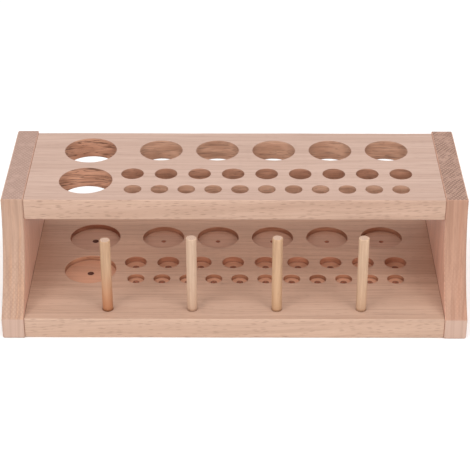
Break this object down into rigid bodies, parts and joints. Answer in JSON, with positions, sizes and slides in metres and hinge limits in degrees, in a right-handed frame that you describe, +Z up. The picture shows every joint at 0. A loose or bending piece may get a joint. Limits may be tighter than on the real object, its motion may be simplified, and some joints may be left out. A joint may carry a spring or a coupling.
{
  "type": "test tube rack",
  "caption": "Wooden bench rack that holds test tubes of four sizes upright in a drilled shelf above seats in its base, with pegs in front for drying washed tubes.",
  "frame": {"origin": "on the bench under the middle of the rack: middle of its length and of its cheeks' depth, at the bottom of the boards", "axes": "+X along the rack to the right as seen from its front, -Y towards the front where the pegs are, +Z up"},
  "size_m": [0.345, 0.151, 0.096],
  "materials": {
    "beech_upright": "sanded beech with a thin matt oil finish, grain upright",
    "beech_board": "sanded beech with a thin matt oil finish, grain along the board",
    "peg_wood": "plain sanded pale dowel rod",
    "dowel_wood": "plain unfinished dowel"
  },
  "bodies": {
    "root": {"left_cheek": "beech_upright", "right_cheek": "beech_upright", "tube_shelf": "beech_board", "base_board": "beech_board", "drying_peg_1": "peg_wood", "drying_peg_2": "peg_wood", "drying_peg_3": "peg_wood", "drying_peg_4": "peg_wood", "shelf_dowel_left_front": "dowel_wood", "shelf_dowel_left_back": "dowel_wood", "base_dowel_left_front": "dowel_wood", "base_dowel_left_middle": "dowel_wood", "base_dowel_left_back": "dowel_wood", "shelf_dowel_right_front": "dowel_wood", "shelf_dowel_right_back": "dowel_wood", "base_dowel_right_front": "dowel_wood", "base_dowel_right_middle": "dowel_wood", "base_dowel_right_back": "dowel_wood"}
  },
  "joints": []
}
